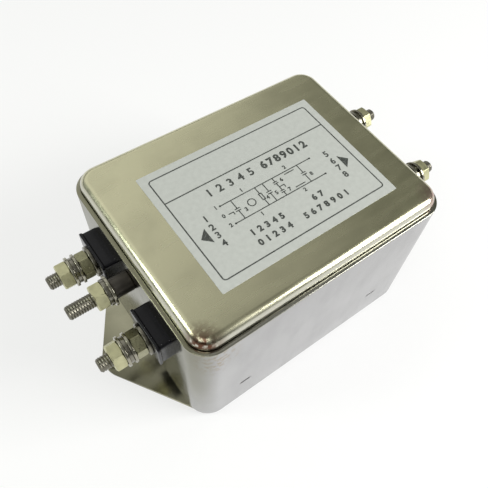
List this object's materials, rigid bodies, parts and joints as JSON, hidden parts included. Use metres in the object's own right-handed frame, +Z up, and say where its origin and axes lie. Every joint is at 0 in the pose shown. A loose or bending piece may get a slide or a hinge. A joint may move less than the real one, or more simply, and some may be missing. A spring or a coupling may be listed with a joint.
{
  "type": "power line filter",
  "caption": "Metal-cased mains noise filter with insulated stud terminals at both ends, a ground stud, and a base plate with slotted ears.",
  "frame": {"origin": "centre of the base plate's underside, on the surface that the filter stands on", "axes": "+X along the case from the line end to the load end, +Y towards the L terminals, +Z up through the lid"},
  "size_m": [0.1208, 0.0658, 0.0545],
  "materials": {
    "tinned_steel": "bright tinned, satin",
    "lid_steel": "bright tinned, warm satin",
    "plate_steel": "tinned, satin",
    "label_film": "matt printed film",
    "black_moulding": "semi gloss",
    "zinc_nut": "zinc plated",
    "nickel_stud": "nickel plated",
    "washer_steel": "bright plated",
    "spring_steel": "dark spring steel",
    "bronze_collar": "dull bronze",
    "tag_brass": "tinned brass",
    "liner_paper": "matt pressed paper",
    "potting_resin": "cast resin",
    "board": "solder mask",
    "ferrite": "ferrite",
    "winding_wire": "enamelled copper",
    "divider_fibre": "fibre sheet",
    "capacitor_case": "moulded case",
    "disc_coat": "dipped coat",
    "resistor_coat": "lacquered",
    "live_wire": "insulated wire",
    "neutral_wire": "insulated wire",
    "earth_wire": "insulated wire"
  },
  "bodies": {
    "case": {"can": "tinned_steel", "lid": "lid_steel", "base_plate": "plate_steel", "label": "label_film", "line_l_block": "black_moulding", "line_n_block": "black_moulding", "load_l_block": "black_moulding", "load_n_block": "black_moulding", "line_l_stud": "nickel_stud", "line_n_stud": "nickel_stud", "load_l_stud": "nickel_stud", "load_n_stud": "nickel_stud", "contact_washers": "washer_steel", "inner_nuts": "zinc_nut", "ground_stud": "nickel_stud", "ground_collar": "bronze_collar", "inner_insulators": "black_moulding", "ground_pad_washer": "washer_steel", "ring_tags": "tag_brass", "line_l_lead": "live_wire", "line_n_lead": "neutral_wire", "load_l_lead": "live_wire", "load_n_lead": "neutral_wire", "ground_lead": "earth_wire", "liner": "liner_paper", "potting": "potting_resin", "circuit_board": "board", "choke_1_core": "ferrite", "choke_1_line_winding": "winding_wire", "choke_1_neutral_winding": "winding_wire", "choke_1_divider": "divider_fibre", "choke_2_core": "ferrite", "choke_2_line_winding": "winding_wire", "choke_2_neutral_winding": "winding_wire", "choke_2_divider": "divider_fibre", "line_x_capacitor": "capacitor_case", "middle_x_capacitor": "capacitor_case", "load_x_capacitor": "capacitor_case", "line_y_capacitor": "disc_coat", "neutral_y_capacitor": "disc_coat", "bleed_resistor": "resistor_coat"},
    "line_l_washers": {"line_l_flat_washers": "washer_steel", "line_l_spring_washer": "spring_steel"},
    "line_l_nut": {"line_l_nut": "zinc_nut"},
    "line_n_washers": {"line_n_flat_washers": "washer_steel", "line_n_spring_washer": "spring_steel"},
    "line_n_nut": {"line_n_nut": "zinc_nut"},
    "load_l_washers": {"load_l_flat_washers": "washer_steel", "load_l_spring_washer": "spring_steel"},
    "load_l_nut": {"load_l_nut": "zinc_nut"},
    "load_n_washers": {"load_n_flat_washers": "washer_steel", "load_n_spring_washer": "spring_steel"},
    "load_n_nut": {"load_n_nut": "zinc_nut"},
    "ground_washers": {"ground_flat_washer": "washer_steel", "ground_spring_washer": "spring_steel"},
    "ground_nut": {"ground_nut": "zinc_nut"}
  },
  "joints": [
    {"name": "line_l_washer_slide", "type": "slide", "parent": "case", "child": "line_l_washers", "axis": [-1, 0, 0], "range_m": [0, 0.0056]},
    {"name": "line_l_nut_turn", "type": "hinge", "parent": "line_l_washers", "child": "line_l_nut", "pos_m": [-0.0554, 0.0141, 0.0377], "axis": [-1, 0, 0], "range_deg": [0, 2880]},
    {"name": "line_n_washer_slide", "type": "slide", "parent": "case", "child": "line_n_washers", "axis": [-1, 0, 0], "range_m": [0, 0.0056]},
    {"name": "line_n_nut_turn", "type": "hinge", "parent": "line_n_washers", "child": "line_n_nut", "pos_m": [-0.0554, -0.0141, 0.0377], "axis": [-1, 0, 0], "range_deg": [0, 2880]},
    {"name": "load_l_washer_slide", "type": "slide", "parent": "case", "child": "load_l_washers", "axis": [1, 0, 0], "range_m": [0, 0.0056]},
    {"name": "load_l_nut_turn", "type": "hinge", "parent": "load_l_washers", "child": "load_l_nut", "pos_m": [0.0554, 0.0141, 0.0377], "axis": [1, 0, 0], "range_deg": [0, 2880]},
    {"name": "load_n_washer_slide", "type": "slide", "parent": "case", "child": "load_n_washers", "axis": [1, 0, 0], "range_m": [0, 0.0056]},
    {"name": "load_n_nut_turn", "type": "hinge", "parent": "load_n_washers", "child": "load_n_nut", "pos_m": [0.0554, -0.0141, 0.0377], "axis": [1, 0, 0], "range_deg": [0, 2880]},
    {"name": "ground_washer_slide", "type": "slide", "parent": "case", "child": "ground_washers", "axis": [-1, 0, 0], "range_m": [0, 0.0091]},
    {"name": "ground_nut_turn", "type": "hinge", "parent": "ground_washers", "child": "ground_nut", "pos_m": [-0.0515, 0, 0.0436], "axis": [-1, 0, 0], "range_deg": [0, 4680]}
  ],
  "couplings": [
    {"joint": "line_l_nut_turn", "follows": "line_l_washer_slide", "rad_per_m": 8976},
    {"joint": "line_n_nut_turn", "follows": "line_n_washer_slide", "rad_per_m": 8976},
    {"joint": "load_l_nut_turn", "follows": "load_l_washer_slide", "rad_per_m": 8976},
    {"joint": "load_n_nut_turn", "follows": "load_n_washer_slide", "rad_per_m": 8976},
    {"joint": "ground_nut_turn", "follows": "ground_washer_slide", "rad_per_m": 8976}
  ]
}
